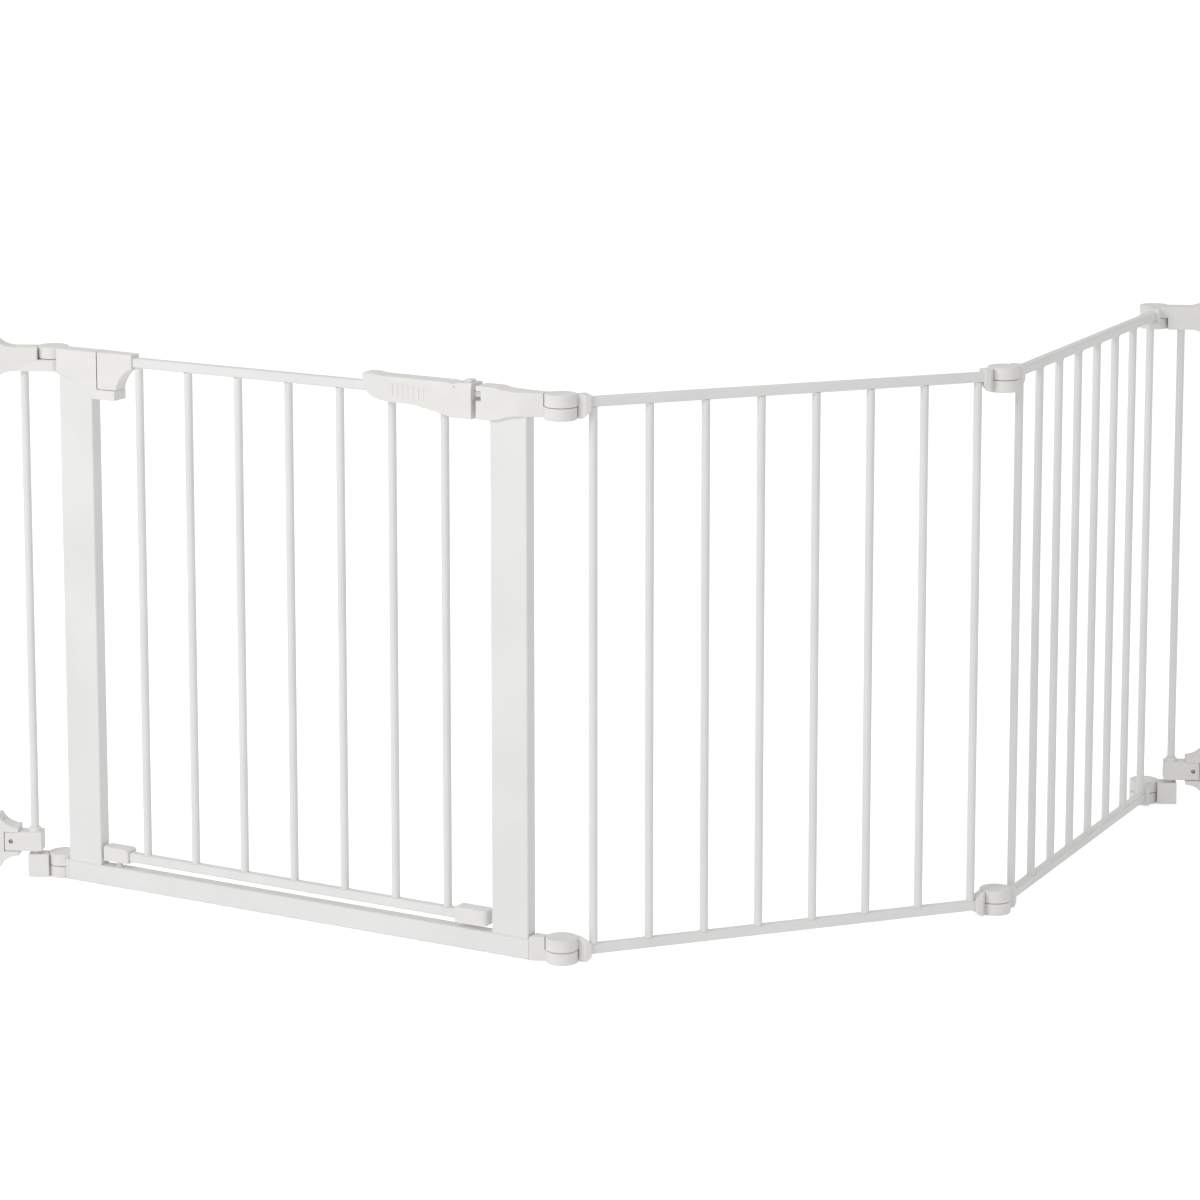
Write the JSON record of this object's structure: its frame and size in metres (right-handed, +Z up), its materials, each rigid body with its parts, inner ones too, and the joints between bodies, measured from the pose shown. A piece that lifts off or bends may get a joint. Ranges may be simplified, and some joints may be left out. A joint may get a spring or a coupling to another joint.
{
  "type": "pet gate",
  "caption": "White barred pet gate: a walk-through door section with a latch, side panels and wall arms, joined by upright knuckle hinges and set in a zigzag.",
  "frame": {"origin": "on the floor, at the centre of the footprint's bounding box in the zigzag it stands in", "axes": "+X from the left wall arm to the right wall arm, square to both wall faces; -Y is the front; +Z up"},
  "size_m": [1.6876, 0.8628, 0.7614],
  "materials": {
    "white_steel": "satin powder coat",
    "white_plastic": "fine moulded satin",
    "spring_steel": "plain wire"
  },
  "bodies": {
    "door_frame": {"hinge_post": "white_steel", "latch_post": "white_steel", "threshold_bar": "white_steel", "hinge_side_housing": "white_plastic", "latch_side_housing": "white_plastic", "frame_lower_left_knuckle": "white_plastic", "frame_lower_right_knuckle": "white_plastic"},
    "door": {"door_top_rail": "white_steel", "door_bottom_rail": "white_steel", "door_bar_1": "white_steel", "door_bar_2": "white_steel", "door_bar_3": "white_steel", "door_bar_4": "white_steel", "door_bar_5": "white_steel", "door_bar_6": "white_steel", "door_bar_7": "white_steel", "door_upper_knuckle": "white_plastic", "door_lower_knuckle": "white_plastic", "door_end_cap": "white_plastic", "door_handle": "white_plastic", "latch_spring": "spring_steel"},
    "latch": {"latch_slide": "white_plastic"},
    "panel_1": {"panel_1_top_rail": "white_steel", "panel_1_bottom_rail": "white_steel", "panel_1_bar_1": "white_steel", "panel_1_bar_2": "white_steel", "panel_1_bar_3": "white_steel", "panel_1_bar_4": "white_steel", "panel_1_bar_5": "white_steel", "panel_1_bar_6": "white_steel", "panel_1_bar_7": "white_steel", "panel_1_bar_8": "white_steel", "panel_1_left_upper_knuckle": "white_plastic", "panel_1_left_lower_knuckle": "white_plastic", "panel_1_right_upper_knuckle": "white_plastic", "panel_1_right_lower_knuckle": "white_plastic"},
    "panel_2": {"panel_2_top_rail": "white_steel", "panel_2_bottom_rail": "white_steel", "panel_2_bar_1": "white_steel", "panel_2_bar_2": "white_steel", "panel_2_bar_3": "white_steel", "panel_2_bar_4": "white_steel", "panel_2_bar_5": "white_steel", "panel_2_bar_6": "white_steel", "panel_2_bar_7": "white_steel", "panel_2_bar_8": "white_steel", "panel_2_left_upper_knuckle": "white_plastic", "panel_2_left_lower_knuckle": "white_plastic", "panel_2_right_upper_knuckle": "white_plastic", "panel_2_right_lower_knuckle": "white_plastic"},
    "left_wall_arm": {"left_upper_arm": "white_plastic", "left_arm_bar": "white_steel", "left_lower_link": "white_plastic", "left_clamp_block": "white_plastic", "left_wall_bracket": "white_plastic"},
    "right_wall_arm": {"right_upper_arm": "white_plastic", "right_arm_bar": "white_steel", "right_lower_link": "white_plastic", "right_clamp_block": "white_plastic", "right_wall_bracket": "white_plastic"}
  },
  "joints": [
    {"name": "hinge_1", "type": "hinge", "parent": "door_frame", "child": "left_wall_arm", "pos_m": [-0.75381, -0.06413, 0], "axis": [0, 0, 1], "range_deg": [-100.5, 49.5]},
    {"name": "door_swing", "type": "hinge", "parent": "door_frame", "child": "door", "pos_m": [-0.66678, -0.11396, 0], "axis": [0, 0, 1], "range_deg": [-90, 90]},
    {"name": "latch_slide", "type": "slide", "parent": "door", "child": "latch", "axis": [-0.9026, 0.4305, 0], "range_m": [0, 0.0085], "stiffness_N_per_m": 250, "springref_m": -0.01, "deforming": ["latch_spring"]},
    {"name": "hinge_2", "type": "hinge", "parent": "door_frame", "child": "panel_1", "pos_m": [-0.04032, -0.40445, 0], "axis": [0, 0, 1], "range_deg": [-124.9, 25.1]},
    {"name": "hinge_3", "type": "hinge", "parent": "panel_1", "child": "panel_2", "pos_m": [0.51884, -0.15081, 0], "axis": [0, 0, 1], "range_deg": [-118.1, 31.9]},
    {"name": "hinge_4", "type": "hinge", "parent": "panel_2", "child": "right_wall_arm", "pos_m": [0.75381, 0.41645, 0], "axis": [0, 0, 1], "range_deg": [-7.5, 142.5]}
  ]
}
